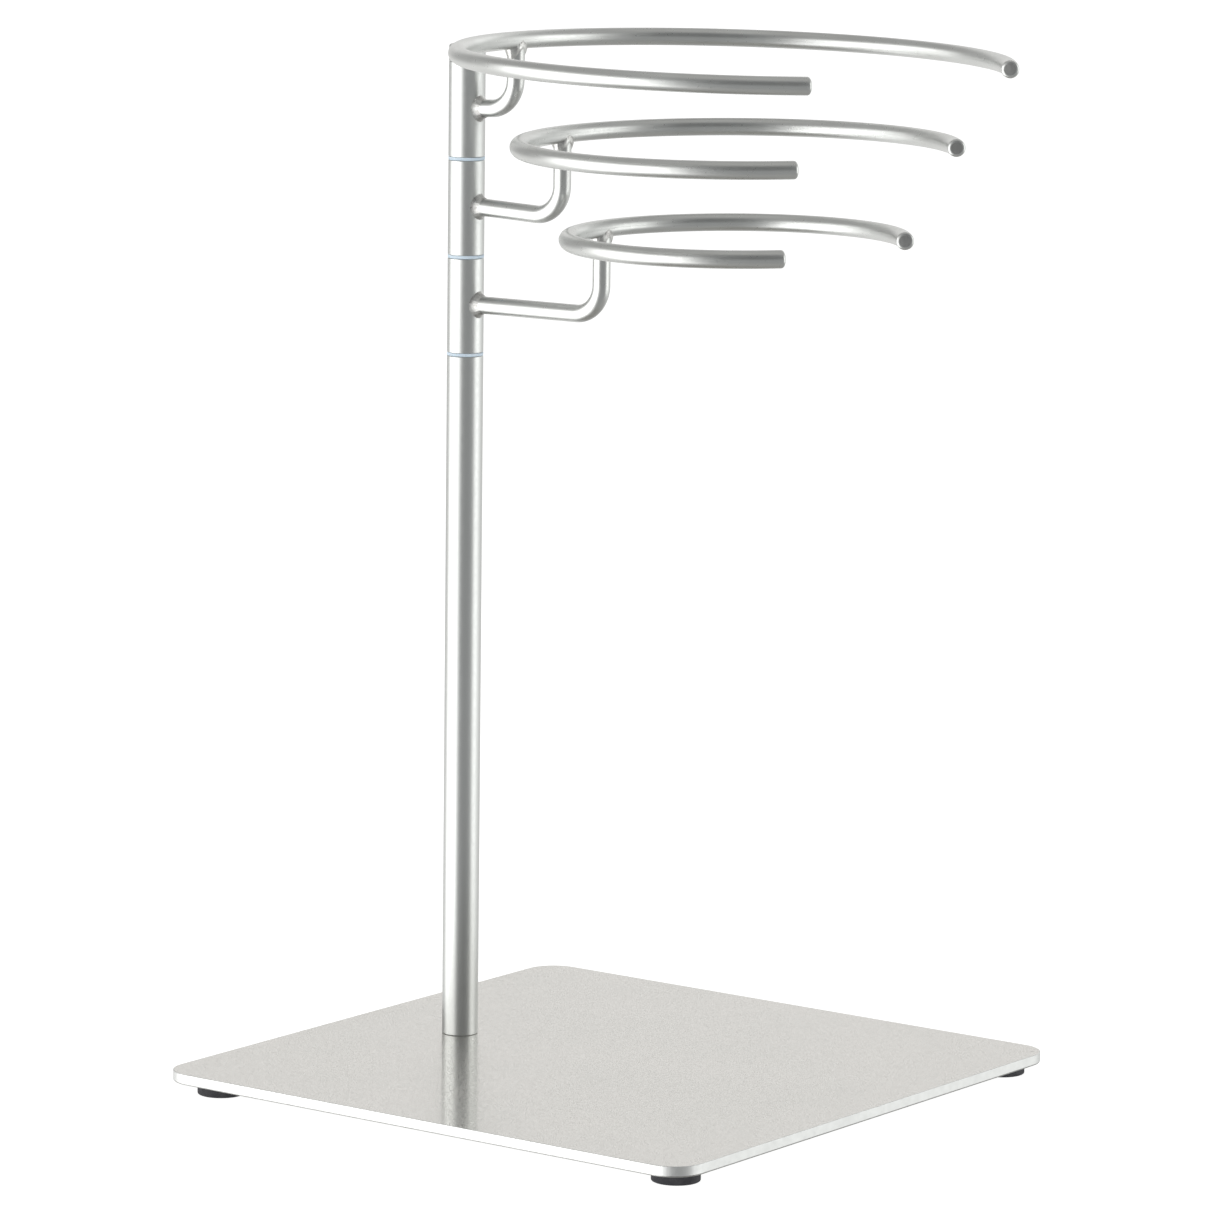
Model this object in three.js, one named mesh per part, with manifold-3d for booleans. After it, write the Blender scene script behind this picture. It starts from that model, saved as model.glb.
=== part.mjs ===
// A three-ring swivel stand: a square steel plate on four rubber feet, an upright post near
// its back edge, and three short collars that turn on a spindle above the post. Each collar
// carries a bent rod arm with an open ring on top, and the rings get smaller downwards.
// Millimetres, +Z up, +X towards the side the rings open to. The origin is on the floor,
// under the middle of the stand's whole outline.
import * as THREE from "three";
import { mergeVertices } from "three/addons/utils/BufferGeometryUtils.js";
import Module from "manifold-3d";

const wasm = await Module();
wasm.setup();

// Base plate and feet.
const PLATE_SIDE = 210;
const PLATE_THICK = 3.6;
const PLATE_CORNER = 11;
const PLATE_EDGE = 0.4;
const FOOT_RADIUS = 7.75;
const FOOT_HEIGHT = 3.2;
const FOOT_EDGE = 0.4;
// Foot centres from the plate's centre: they are stuck on by hand, so no two insets are equal.
const FEET = {
  foot_front_right: [95, -94],
  foot_front_left: [94, 90.5],
  foot_back_right: [-87, -95],
  foot_back_left: [-92, 92],
};

// Post, spindle and what turns on it.
const POST_X = -62.7; // from the plate's centre
const POST_RADIUS = 6;
const POST_LENGTH = 228;
const TUBE_BORE = 4.5; // inner radius of the post and of the collars
const PLUG_LENGTH = 22;
const SPINDLE_RADIUS = 3;
const SPINDLE_GRIP = 18; // how far the spindle screws into the post
const THREAD_GAP = 0.1;
const BUSH_GAP = 0.08; // radial running clearance of the bushes on the spindle
const BUSH_SLEEVE = 6;
const FLANGE = 1;
const COLLAR_LENGTH = 31.15;
const END_PLAY = 0.05;
const COLLAR_PITCH = FLANGE + COLLAR_LENGTH + END_PLAY;
const CAP_HEIGHT = 4.65;
const CAP_WALL = 1.2;
const EDGE = 0.3; // chamfer on turned edges

// Base screw: countersunk, driven from below.
const SCREW_RADIUS = 3;
const SCREW_LENGTH = 18;
const SCREW_HEAD_RADIUS = 6.2;
const SCREW_HOLE = 3.3;
const COUNTERSINK = 6.5;
const HEX_RADIUS = 2.3;
const HEX_DEPTH = 2;

// Rod arms and rings. Rod ends meet what they are welded to with WELD_GAP all round.
const ROD_RADIUS = 2.9;
const ROD_SIDES = 12;
const ROD_TIP = 1; // rounding of a ring's two ends
const BEND_RADIUS = 10;
const ARM_LIFT = 0.4; // height of an arm's root above its collar's middle
const WELD_GAP = 0.3;
const BEAD_THICK = 0.9; // a weld bead's thickness off the surface it lies on
const COLLAR_BEAD = 1.7; // how far the bead round an arm's root spreads over the collar
const RING_BEAD = 1; // the same for the bead round a leg's top
const ARC_STEP = 6; // degrees of ring between two sections of its rod
const ARM_STEP = 2; // length of arm between two sections of its rod
const TIP_STEPS = 3; // flats across a ring's rounded end
const NEAR_LEG = 30; // degrees of ring on each side of its leg that the welds are coped to
const ROUND = 24; // sides of the turned pieces
const CORNER_STEPS = 10; // flats across the plate's rounded corners
const OVERSHOOT = 1; // how far a cutter runs past the face it leaves through
const SKIN_STEP = 0.02; // how far a rod's end piece stays inside the rod's own skin
const MERGE_DISTANCE = 1e-4; // vertices closer than this are one

// One row for each ring, from the bottom collar up. swing: which way its arm points, from +X;
// reach: from the post's axis to the arm's upright leg; rise: from the collar's middle to the
// ring; climb: how much the level run rises from the collar to its bend; radius: the ring's
// centreline; mouth: half the angle of its opening; turn: the middle of the opening; droop
// and lean: its tilt outwards and sideways. Angles are in degrees.
const RINGS = [
  {
    name: "bottom",
    swing: -0.6,
    reach: 55.9,
    rise: 29.1,
    climb: 0.4,
    radius: 53.6,
    mouth: 36.9,
    turn: -0.9,
    droop: -0.2,
    lean: 0.4,
  },
  {
    name: "middle",
    swing: 0,
    reach: 39.2,
    rise: 26.3,
    climb: -0.8,
    radius: 69.55,
    mouth: 38.6,
    turn: -0.7,
    droop: -0.1,
    lean: 0.5,
  },
  {
    name: "top",
    swing: -0.7,
    reach: 20.1,
    rise: 23.45,
    climb: 0.3,
    radius: 87.45,
    mouth: 36,
    turn: -2.25,
    droop: 0.95,
    lean: -0.4,
  },
];

const PLATE_TOP = FOOT_HEIGHT + PLATE_THICK;
const POST_TOP = PLATE_TOP + POST_LENGTH;
const STACK_TOP = POST_TOP + RINGS.length * COLLAR_PITCH;
const degrees = THREE.MathUtils.degToRad;

const STEEL = new THREE.MeshStandardMaterial({ color: 0xb9bab8, roughness: 0.35, metalness: 1 });
const PLATE_STEEL = new THREE.MeshStandardMaterial({ color: 0xc9c7c2, roughness: 0.3, metalness: 1 });
const HARDWARE = new THREE.MeshStandardMaterial({ color: 0x8d9094, roughness: 0.4, metalness: 1 });
const NYLON = new THREE.MeshStandardMaterial({ color: 0xcfe0ee, roughness: 0.5, metalness: 0 });
const RUBBER = new THREE.MeshStandardMaterial({ color: 0x2b2b2e, roughness: 0.8, metalness: 0 });

// ---- Geometry helpers ----

// A closed body turned about +Z from an outline of [radius, height] points.
function turned(outline, sides = ROUND) {
  const points = outline.map(([radius, height]) => new THREE.Vector2(radius, height));
  return new THREE.LatheGeometry(points, sides).rotateX(Math.PI / 2);
}

// A plain bar, or a tube when it has a bore, with small chamfers on its outer edges.
function bar(radius, bottom, top, bore = 0, edge = EDGE) {
  const outline = [
    [bore, bottom],
    [radius - edge, bottom],
    [radius, bottom + edge],
    [radius, top - edge],
    [radius - edge, top],
    [bore, top],
  ];
  return turned(bore > 0 ? [...outline, [bore, bottom]] : outline);
}

// A three.js geometry as a solid that can be joined and cut.
function solid(geometry) {
  const bare = geometry.index ? geometry.toNonIndexed() : geometry.clone();
  bare.deleteAttribute("normal");
  bare.deleteAttribute("uv");
  const merged = mergeVertices(bare, MERGE_DISTANCE);
  return new wasm.Manifold(
    new wasm.Mesh({
      numProp: 3,
      vertProperties: merged.attributes.position.array,
      triVerts: new Uint32Array(merged.index.array),
    }),
  );
}

// A solid back as a three.js geometry.
function geometryOf(manifold) {
  const mesh = manifold.getMesh();
  const geometry = new THREE.BufferGeometry();
  geometry.setAttribute("position", new THREE.BufferAttribute(mesh.vertProperties, 3));
  geometry.setIndex(new THREE.BufferAttribute(mesh.triVerts, 1));
  const faceted = geometry.toNonIndexed();
  faceted.computeVertexNormals();
  return faceted;
}

// An arc of a circle: it starts from centre + radius * across and turns towards ahead.
class Arc extends THREE.Curve {
  constructor(centre, radius, across, ahead, start, end) {
    super();
    Object.assign(this, { centre, radius, across, ahead, start, end });
  }

  getPoint(t, target = new THREE.Vector3()) {
    const angle = this.start + t * (this.end - this.start);
    return target
      .copy(this.centre)
      .addScaledVector(this.across, this.radius * Math.cos(angle))
      .addScaledVector(this.ahead, this.radius * Math.sin(angle));
  }
}

// A round rod along a path, with about one section every stepLength.
function rod(path, stepLength, radius = ROD_RADIUS) {
  const corners = [];
  for (let side = 0; side < ROD_SIDES; side++) {
    const angle = (2 * Math.PI * side) / ROD_SIDES;
    corners.push(new THREE.Vector2(radius * Math.cos(angle), radius * Math.sin(angle)));
  }
  return new THREE.ExtrudeGeometry(new THREE.Shape(corners), {
    extrudePath: path,
    steps: Math.ceil(path.getLength() / stepLength),
  });
}

function meshOf(name, geometry, material) {
  const mesh = new THREE.Mesh(geometry, material);
  mesh.name = name;
  return mesh;
}

// ---- Base ----

function roundedSquare(side, corner) {
  const half = side / 2;
  const arc = half - corner;
  return new THREE.Shape()
    .absarc(arc, arc, corner, 0, Math.PI / 2)
    .absarc(-arc, arc, corner, Math.PI / 2, Math.PI)
    .absarc(-arc, -arc, corner, Math.PI, 1.5 * Math.PI)
    .absarc(arc, -arc, corner, 1.5 * Math.PI, 2 * Math.PI);
}

function basePlate() {
  const outline = roundedSquare(PLATE_SIDE - 2 * PLATE_EDGE, PLATE_CORNER - PLATE_EDGE);
  const blank = new THREE.ExtrudeGeometry(outline, {
    depth: PLATE_THICK - 2 * PLATE_EDGE,
    bevelSize: PLATE_EDGE,
    bevelThickness: PLATE_EDGE,
    bevelSegments: 2,
    curveSegments: CORNER_STEPS,
  }).translate(0, 0, FOOT_HEIGHT + PLATE_EDGE);
  const sinkTop = FOOT_HEIGHT + COUNTERSINK - SCREW_HOLE;
  const hole = turned([
    [0, 0],
    [COUNTERSINK, 0],
    [COUNTERSINK, FOOT_HEIGHT],
    [SCREW_HOLE, sinkTop],
    [SCREW_HOLE, PLATE_TOP + OVERSHOOT],
    [0, PLATE_TOP + OVERSHOOT],
  ]).translate(POST_X, 0, 0);
  return geometryOf(solid(blank).subtract(solid(hole)));
}

function baseScrew() {
  const bottom = FOOT_HEIGHT + EDGE;
  const neck = bottom + SCREW_HEAD_RADIUS - SCREW_RADIUS;
  const body = turned([
    [0, bottom],
    [SCREW_HEAD_RADIUS, bottom],
    [SCREW_RADIUS, neck],
    [SCREW_RADIUS, bottom + SCREW_LENGTH - EDGE],
    [SCREW_RADIUS - EDGE, bottom + SCREW_LENGTH],
    [0, bottom + SCREW_LENGTH],
  ]);
  const socket = new THREE.CylinderGeometry(HEX_RADIUS, HEX_RADIUS, 2 * HEX_DEPTH, 6)
    .rotateX(Math.PI / 2)
    .translate(0, 0, bottom);
  return geometryOf(solid(body).subtract(solid(socket)));
}

function makeBase() {
  const base = new THREE.Group();
  base.add(meshOf("base_plate", basePlate(), PLATE_STEEL));
  for (const [name, [x, y]] of Object.entries(FEET)) {
    const foot = meshOf(name, bar(FOOT_RADIUS, 0, FOOT_HEIGHT, 0, FOOT_EDGE), RUBBER);
    foot.position.set(x, y, 0);
    base.add(foot);
  }
  return base;
}

// ---- Post and spindle: one stack about the post's axis ----

function plug(bottom) {
  const radius = TUBE_BORE - THREAD_GAP;
  return bar(radius, bottom, bottom + PLUG_LENGTH, SCREW_RADIUS + THREAD_GAP);
}

// The end cap is a blind nut: its bore is open below and its top edge is rounded off.
function endCap() {
  const bottom = STACK_TOP + FLANGE + END_PLAY;
  const top = bottom + CAP_HEIGHT;
  const bore = SPINDLE_RADIUS + THREAD_GAP;
  return turned([
    [bore, bottom],
    [POST_RADIUS - EDGE, bottom],
    [POST_RADIUS, bottom + EDGE],
    [POST_RADIUS, top - 3 * EDGE],
    [POST_RADIUS - EDGE, top - EDGE],
    [POST_RADIUS - 3 * EDGE, top],
    [0, top],
    [0, top - CAP_WALL],
    [bore, top - CAP_WALL],
    [bore, bottom],
  ]);
}

function makePost() {
  const post = new THREE.Group();
  const spindleTop = STACK_TOP + FLANGE + CAP_HEIGHT - CAP_WALL - EDGE;
  const washerBore = SPINDLE_RADIUS + BUSH_GAP;
  post.add(
    meshOf("base_screw", baseScrew(), HARDWARE),
    meshOf("post_foot_plug", plug(PLATE_TOP), HARDWARE),
    meshOf("post_tube", bar(POST_RADIUS, PLATE_TOP, POST_TOP, TUBE_BORE), STEEL),
    meshOf("post_head_plug", plug(POST_TOP - PLUG_LENGTH), HARDWARE),
    meshOf("spindle", bar(SPINDLE_RADIUS, POST_TOP - SPINDLE_GRIP, spindleTop), HARDWARE),
    meshOf("top_washer", bar(POST_RADIUS, STACK_TOP, STACK_TOP + FLANGE, washerBore, EDGE / 2), STEEL),
    meshOf("end_cap", endCap(), STEEL),
  );
  return post;
}

// ---- One swivelling ring: collar, bushes, arm, ring and the two weld beads ----

// The flanged bush under a collar: its flange is the thin band between two collars.
function lowerBush(bottom) {
  const bore = SPINDLE_RADIUS + BUSH_GAP;
  const sleeve = TUBE_BORE - THREAD_GAP;
  return turned([
    [bore, bottom],
    [POST_RADIUS - EDGE / 2, bottom],
    [POST_RADIUS, bottom + EDGE / 2],
    [POST_RADIUS, bottom + FLANGE - EDGE / 2],
    [POST_RADIUS - EDGE / 2, bottom + FLANGE],
    [sleeve, bottom + FLANGE],
    [sleeve, bottom + FLANGE + BUSH_SLEEVE],
    [bore, bottom + FLANGE + BUSH_SLEEVE],
    [bore, bottom],
  ]);
}

function upperBush(top) {
  return bar(TUBE_BORE - THREAD_GAP, top - BUSH_SLEEVE, top, SPINDLE_RADIUS + BUSH_GAP, EDGE / 2);
}

const X = new THREE.Vector3(1, 0, 0);
const Y = new THREE.Vector3(0, 1, 0);
const Z = new THREE.Vector3(0, 0, 1);

// The arm's centreline, from the post's axis at x = 0 and the collar's middle at z = 0.
function armPath({ reach, rise, climb }) {
  const path = new THREE.CurvePath();
  const level = ARM_LIFT + climb;
  const root = new THREE.Vector3(POST_RADIUS / 2, 0, ARM_LIFT);
  const bendStart = new THREE.Vector3(reach - BEND_RADIUS, 0, level);
  const bendEnd = new THREE.Vector3(reach, 0, level + BEND_RADIUS);
  const centre = new THREE.Vector3(reach - BEND_RADIUS, 0, level + BEND_RADIUS);
  path.add(new THREE.LineCurve3(root, bendStart));
  path.add(new Arc(centre, BEND_RADIUS, X, Z, -Math.PI / 2, 0));
  path.add(new THREE.LineCurve3(bendEnd, new THREE.Vector3(reach, 0, rise)));
  return path;
}

// The ring's centreline from one side of its mouth round to the other, starting the frame
// at the point over the arm's leg.
function ringPath({ radius, mouth, turn }) {
  const centre = new THREE.Vector3(radius, 0, 0);
  const tip = ROD_TIP / radius;
  const start = degrees(turn + mouth) + tip;
  const end = degrees(turn - mouth + 360) - tip;
  return new Arc(centre, radius, X, Y, start, end);
}

// A rounded end for a rod: it overlaps the rod by a little and ends in a smaller circle.
function rodTip(path, atStart) {
  const skin = ROD_RADIUS - SKIN_STEP;
  const outline = [
    [0, -ROD_TIP],
    [skin, -ROD_TIP],
  ];
  for (let step = 0; step <= TIP_STEPS; step++) {
    const angle = (Math.PI / 2) * (step / TIP_STEPS);
    outline.push([skin - ROD_TIP * (1 - Math.cos(angle)), ROD_TIP * Math.sin(angle)]);
  }
  outline.push([0, ROD_TIP]);
  const tip = turned(outline, ROD_SIDES);
  const outward = path.getTangent(atStart ? 0 : 1).multiplyScalar(atStart ? -1 : 1);
  const place = path.getPoint(atStart ? 0 : 1);
  const turn = new THREE.Quaternion().setFromUnitVectors(Z, outward);
  return tip.applyQuaternion(turn).translate(place.x, place.y, place.z);
}

function ringGeometry(ring) {
  const path = ringPath(ring);
  const bare = rod(path, ring.radius * degrees(ARC_STEP));
  return geometryOf(solid(bare).add(solid(rodTip(path, true))).add(solid(rodTip(path, false))));
}

// The collar and the stretch of ring over the leg, as solids grown by a margin: they cope a
// rod or a bead to what it is welded to.
function grownCollar(margin) {
  return solid(bar(POST_RADIUS + margin, -COLLAR_LENGTH / 2, COLLAR_LENGTH / 2));
}

function grownRing(ring, margin) {
  const centre = new THREE.Vector3(ring.radius, 0, 0);
  const start = degrees(180 - NEAR_LEG);
  const end = degrees(180 + NEAR_LEG);
  const nearLeg = new Arc(centre, ring.radius, X, Y, start, end);
  const geometry = rod(nearLeg, ring.radius * degrees(ARC_STEP), ROD_RADIUS + margin);
  geometry.rotateY(degrees(ring.droop)).rotateX(degrees(ring.lean));
  return solid(geometry.translate(ring.reach, 0, ring.rise));
}

function armGeometry(ring) {
  const bare = solid(rod(armPath(ring), ARM_STEP));
  return geometryOf(bare.subtract(grownCollar(WELD_GAP)).subtract(grownRing(ring, WELD_GAP)));
}

// A sleeve round a rod along +Z, which a bead is cut out of.
function sleeve(spread, length) {
  const inner = ROD_RADIUS + WELD_GAP;
  return bar(inner + spread, 0, length, inner);
}

function collarWeld() {
  const around = sleeve(COLLAR_BEAD, 2 * POST_RADIUS).rotateY(Math.PI / 2).translate(0, 0, ARM_LIFT);
  const skin = solid(around).intersect(grownCollar(WELD_GAP + BEAD_THICK));
  return geometryOf(skin.subtract(grownCollar(WELD_GAP)));
}

function ringWeld(ring) {
  const length = 2 * ROD_RADIUS;
  const around = sleeve(RING_BEAD, length).translate(ring.reach, 0, ring.rise - length);
  const skin = solid(around).intersect(grownRing(ring, WELD_GAP + BEAD_THICK));
  return geometryOf(skin.subtract(grownRing(ring, WELD_GAP)));
}

function makeSwivel(ring, level) {
  const swivel = new THREE.Group();
  swivel.rotation.z = degrees(ring.swing);
  const bottom = POST_TOP + level * COLLAR_PITCH + END_PLAY;
  const collarBottom = bottom + FLANGE;
  const collarTop = collarBottom + COLLAR_LENGTH;
  swivel.add(
    meshOf(`${ring.name}_lower_bush`, lowerBush(bottom), NYLON),
    meshOf(`${ring.name}_collar`, bar(POST_RADIUS, collarBottom, collarTop, TUBE_BORE), STEEL),
    meshOf(`${ring.name}_upper_bush`, upperBush(collarTop), NYLON),
  );

  const armLevel = new THREE.Group();
  armLevel.position.z = (collarBottom + collarTop) / 2;
  armLevel.add(
    meshOf(`${ring.name}_arm`, armGeometry(ring), STEEL),
    meshOf(`${ring.name}_collar_weld`, collarWeld(), STEEL),
    meshOf(`${ring.name}_ring_weld`, ringWeld(ring), STEEL),
  );

  const loop = meshOf(`${ring.name}_ring`, ringGeometry(ring), STEEL);
  loop.position.set(ring.reach, 0, ring.rise);
  loop.rotation.set(degrees(ring.lean), degrees(ring.droop), 0);
  armLevel.add(loop);
  swivel.add(armLevel);
  return swivel;
}

// ---- Assembly ----

const stand = new THREE.Group();
stand.add(makeBase());
const onPost = new THREE.Group();
onPost.position.set(POST_X, 0, 0);
onPost.add(makePost());
RINGS.forEach((ring, level) => onPost.add(makeSwivel(ring, level)));
stand.add(onPost);

// The top ring reaches past the plate's front edge, so the plate stands a little behind
// the middle of the whole outline. The outermost point is on the rounding of its right end.
const top = RINGS[RINGS.length - 1];
const tipAngle = degrees(top.mouth + top.turn + top.swing);
const roundingCentre =
  (top.radius + ROD_RADIUS - ROD_TIP) * Math.cos(tipAngle) - ROD_TIP * Math.sin(tipAngle);
const frontReach = POST_X + top.reach + top.radius + roundingCentre + ROD_TIP;
stand.position.x = (PLATE_SIDE / 2 - frontReach) / 2;

export default stand;
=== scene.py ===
"""Looks of the three-ring swivel stand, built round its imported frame. Metres, same frame as the CAD."""

import math

import bmesh
import bpy
from mathutils import Matrix, Vector, noise


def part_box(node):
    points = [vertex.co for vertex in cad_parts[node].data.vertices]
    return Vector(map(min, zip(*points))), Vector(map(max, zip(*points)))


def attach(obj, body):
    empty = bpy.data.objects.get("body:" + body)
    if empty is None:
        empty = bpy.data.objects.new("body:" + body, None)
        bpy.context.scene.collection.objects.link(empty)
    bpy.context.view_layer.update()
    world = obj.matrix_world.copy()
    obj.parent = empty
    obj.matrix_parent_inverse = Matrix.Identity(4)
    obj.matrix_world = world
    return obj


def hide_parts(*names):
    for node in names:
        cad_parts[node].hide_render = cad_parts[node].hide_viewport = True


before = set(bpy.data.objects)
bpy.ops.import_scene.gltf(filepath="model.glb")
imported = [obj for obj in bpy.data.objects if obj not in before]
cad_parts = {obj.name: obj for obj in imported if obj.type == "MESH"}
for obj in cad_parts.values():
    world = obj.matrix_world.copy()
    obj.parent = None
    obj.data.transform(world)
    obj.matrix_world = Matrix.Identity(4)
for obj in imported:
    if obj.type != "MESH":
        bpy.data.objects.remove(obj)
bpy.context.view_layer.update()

MM = 0.001

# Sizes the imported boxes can't give. They are the CAD's, except where a comment says otherwise.
PLATE_CORNER = 11 * MM
PLATE_TOP_EDGE = 0.2 * MM  # the CAD bevels both of the plate's edges by 0.4 mm
PLATE_UNDER_EDGE = 0.6 * MM
RIM_START = 90 * MM  # from the plate's middle: nothing but the rim lies further out
COUNTERSINK = 6.5 * MM
SCREW_HOLE = 3.3 * MM
SCREW_RADIUS = 3 * MM
HEX_RADIUS = 2.3 * MM
HEX_DEPTH = 2 * MM
FOOT_EDGE = 0.4 * MM
TUBE_BORE = 4.5 * MM
TURNED_EDGE = 0.3 * MM
BUSH_EDGE = 0.15 * MM
BUSH_BORE = 3.08 * MM
BUSH_SLEEVE = 4.4 * MM  # outer radius of a bush's sleeve
FLANGE = 1 * MM
END_PLAY = 0.05 * MM  # gap left over the top collar, where the CAD's washer touches it
CAP_BORE = 3.1 * MM
CAP_WALL = 1.2 * MM
CAP_ROUND = 0.9 * MM
ROD_RADIUS = 2.895 * MM  # a hair under the CAD's, so the rings stay inside its box
ROD_TIP = 1 * MM
TIP_MARGIN = 0.1 * MM  # how far a ring's ends stay back from the CAD's
BEND_RADIUS = 10 * MM
ARM_ROOT = 5.2 * MM  # the arm starts inside the collar's wall, where the CAD's stops short of it
ARM_LIFT = 0.4 * MM

# Each ring's shape, as the CAD states it: lengths here in millimetres, angles in degrees.
RINGS = {
    "bottom": dict(swing=-0.6, reach=55.9, rise=29.1, climb=0.4, radius=53.6,
                   mouth=36.9, turn=-0.9, droop=-0.2, lean=0.4),
    "middle": dict(swing=0, reach=39.2, rise=26.3, climb=-0.8, radius=69.55,
                   mouth=38.6, turn=-0.7, droop=-0.1, lean=0.5),
    "top": dict(swing=-0.7, reach=20.1, rise=23.45, climb=0.3, radius=87.45,
                mouth=36, turn=-2.25, droop=0.95, lean=-0.4),
}
FEET = ("foot_front_right", "foot_front_left", "foot_back_right", "foot_back_left")

# How finely the pieces are cut.
POST_SIDES = 96
FOOT_SIDES = 72
ROD_SIDES = 40
ROUND_STEPS = 5
CORNER_STEPS = 24
RING_STEP = math.radians(1.5)
RUN_STEPS = 8
BEND_STEPS = 24
HOLE_SIDES = 48
SCREW_SIDES = 64
HEX_SIDES = 6
SHARP_ANGLE = math.radians(40)
OVERSHOOT = 1 * MM  # how far a cutter runs past the face it leaves through

# The dish under a foot: its radius and its middle's as shares of the foot's radius, and the point
# between them as shares of the dish's radius and depth.
DISH_RADIUS = 0.5
DISH_MIDDLE = 0.05
DISH_SHOULDER = 0.8
DISH_SHOULDER_DEPTH = 0.9

# What the upright part of a face's normal says about the plate: above the first it is a flat, below
# the second it belongs to the lower edge.
FLAT_NORMAL = 0.995
LOWER_EDGE_NORMAL = -0.1

# Places in a piece's list of materials.
CUT_EDGE_INDEX = 1
# The plate's lower edge takes the dark sawn-end steel: painted shade under the plate.
LOWER_EDGE_SHADE_INDEX = 2
ROD_END_INDEX = 1

# Weld beads: how far they spread on each side of the corner they fill.
COLLAR_BEAD_SPREAD = 1.5 * MM
COLLAR_BEAD_RUN = 2.0 * MM
COLLAR_BEAD_SIDES = 0.6  # its spread at the sides, as a share of its spread above and below
RING_BEAD_SPREAD = 1.3 * MM
RING_BEAD_RUN = 3.2 * MM
RING_BEAD_SIDES = 0.75  # its run down the leg across the ring, as a share of its run along the ring
RING_BEAD_BULGE = 0.9 * MM  # a bead stands out beside the leg by half of this
RING_ROOT_OUT = 0.8  # how far out its hidden root lies, as a share of the toe's distance
RING_ROOT_DROP = 0.7  # how far down, as a share of the way from the ring's middle to its skin
BEAD_ROOT = 0.5 * MM
TOE_IN_ROD = 0.01  # how far a bead's inner toe lies inside the rod, as a share of the rod's radius
BEAD_SINK = 0.02 * MM  # how far a bead's toes lie under the surfaces they meet
BEAD_HOLLOW = 0.22  # how far a bead's face is drawn in, as a share of the way to its root
BEAD_SIDES = 96
BEAD_STEPS = 8
BEAD_RIPPLES = 22
BEAD_RIPPLE_HEIGHT = 0.05 * MM
BEAD_WANDER = 0.22 * MM
WANDER_SCALE = 550
SWIVEL_SEED_STEP = 10  # steps through the noise, so that no two beads look alike
RING_BEAD_SEED = 7

# The camera stands off the middle of the plate's top.
CAMERA_OFFSET = Vector((1.26047, -1.70728, 0.49989))
CAMERA_YAW = math.radians(126.515)
CAMERA_PITCH = math.radians(-9.344)
CAMERA_ROLL = math.radians(0.647)
CAMERA_LENS = 196.26  # millimetres, as is the sensor's width
CAMERA_SENSOR = 36
CAMERA_REACH = 100
VIEW_AZIMUTH = CAMERA_YAW - math.pi  # the way from the stand to the camera

FLOOR_HALF = 12
FLOOR_GREY = 0.3
FLOOR_GLOW = 0.93
LIGHT_PLACE = (0.1, -0.3, 1.6)
LIGHT_SIDE = 1.2
LIGHT_POWER = 14  # watts


# ---- Mesh helpers ----

def object_from(name, mesh_data):
    """Turn a bmesh into an object with smooth sides and crisp corners."""
    bmesh.ops.recalc_face_normals(mesh_data, faces=mesh_data.faces)
    mesh = bpy.data.meshes.new(name)
    mesh_data.to_mesh(mesh)
    mesh_data.free()
    mesh.shade_smooth()
    mesh.set_sharp_from_angle(angle=SHARP_ANGLE)
    piece = bpy.data.objects.new(name, mesh)
    bpy.context.scene.collection.objects.link(piece)
    return piece


def bridge(mesh_data, first, second):
    """Quads between two closed loops of the same length."""
    count = len(first)
    for index in range(count):
        after = (index + 1) % count
        mesh_data.faces.new((first[index], first[after], second[after], second[index]))


def skin(name, loops, closed=False):
    """A solid from a row of closed point loops: capped at both ends, or joined end to end."""
    mesh_data = bmesh.new()
    rows = [[mesh_data.verts.new(point) for point in loop] for loop in loops]
    for first, second in zip(rows, rows[1:]):
        bridge(mesh_data, first, second)
    if closed:
        bridge(mesh_data, rows[-1], rows[0])
    else:
        mesh_data.faces.new(rows[0])
        mesh_data.faces.new(rows[-1])
    return object_from(name, mesh_data)


def circle(radius, height, sides, centre):
    """A level loop of points round a centre."""
    loop = []
    for side in range(sides):
        angle = 2 * math.pi * side / sides
        loop.append(Vector((
            centre[0] + radius * math.cos(angle),
            centre[1] + radius * math.sin(angle),
            height,
        )))
    return loop


def lathe(name, outline, centre, sides=POST_SIDES, closed=False):
    """A turned solid from (radius, height) points."""
    loops = [circle(radius, height, sides, centre) for radius, height in outline]
    return skin(name, loops, closed)


def rolled_edge(radius, height, size, upwards):
    """Outline points that round an outer edge off, from its side face or up to it."""
    points = []
    for step in range(ROUND_STEPS + 1):
        angle = 0.5 * math.pi * step / ROUND_STEPS
        inward = size * (1 - math.cos(angle))
        along = size * (1 - math.sin(angle))
        if upwards:
            points.append((radius - inward, height - along))
        else:
            points.insert(0, (radius - inward, height + along))
    return points


def turned_body(radius, bottom, top, edge):
    """The outer outline of a turned body, both edges rolled."""
    lower = rolled_edge(radius, bottom, edge, upwards=False)
    upper = rolled_edge(radius, top, edge, upwards=True)
    return lower + upper


def sweep(name, points, normal, radii):
    """A round rod along a flat path. normal stands square to the path's plane."""
    loops = []
    last = len(points) - 1
    for index, point in enumerate(points):
        tangent = (points[min(index + 1, last)] - points[max(index - 1, 0)]).normalized()
        across = tangent.cross(normal)
        loop = []
        for side in range(ROD_SIDES):
            angle = 2 * math.pi * side / ROD_SIDES
            loop.append(point + radii[index] * (math.cos(angle) * normal + math.sin(angle) * across))
        loops.append(loop)
    return skin(name, loops)


def apply_modifiers(piece):
    """Replace the piece's mesh with what its modifiers make of it."""
    depsgraph = bpy.context.evaluated_depsgraph_get()
    mesh = bpy.data.meshes.new_from_object(piece.evaluated_get(depsgraph))
    piece.modifiers.clear()
    piece.data = mesh


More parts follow.
